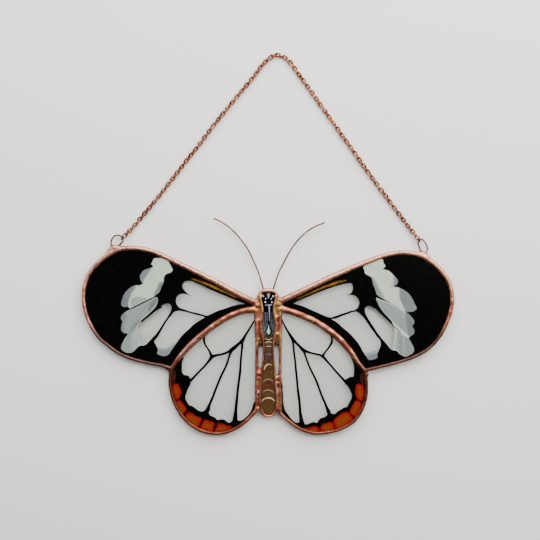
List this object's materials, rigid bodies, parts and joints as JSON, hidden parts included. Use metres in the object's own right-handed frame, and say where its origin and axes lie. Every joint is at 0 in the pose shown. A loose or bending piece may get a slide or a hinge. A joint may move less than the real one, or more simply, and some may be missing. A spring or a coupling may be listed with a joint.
{
  "type": "stained-glass butterfly sun catcher",
  "caption": "Butterfly of painted glass panes joined by copper-plated solder, with wire antennae and a fine chain on wire loops to hang it in a window.",
  "frame": {"origin": "centre of the butterfly's outline, antennae and loops included and chain left out, on the plane that its back lies on", "axes": "+X to the viewer's right with the head up, +Y from the tail to the head, +Z out of the painted face"},
  "size_m": [0.1865, 0.1918, 0.0047],
  "materials": {
    "painted_wing_glass": "clear polished sheet glass, painted with gloss black, milky white, amber and orange-red",
    "painted_body_glass": "clear polished sheet glass, painted all over in gloss brown, black and grey",
    "copper_plated_solder": "copper-plated solder, semi-gloss and uneven, with darker spots",
    "copper_wire": "copper-plated wire, semi-gloss, dulled",
    "copper_chain": "bright copper-plated chain"
  },
  "bodies": {
    "root": {"left_forewing_glass": "painted_wing_glass", "right_forewing_glass": "painted_wing_glass", "left_hindwing_glass": "painted_wing_glass", "right_hindwing_glass": "painted_wing_glass", "body_glass": "painted_body_glass", "solder_frame": "copper_plated_solder", "left_antenna": "copper_wire", "right_antenna": "copper_wire", "left_hanging_loop": "copper_wire", "right_hanging_loop": "copper_wire", "left_end_link": "copper_chain", "right_end_link": "copper_chain", "chain": "copper_chain"}
  },
  "joints": []
}
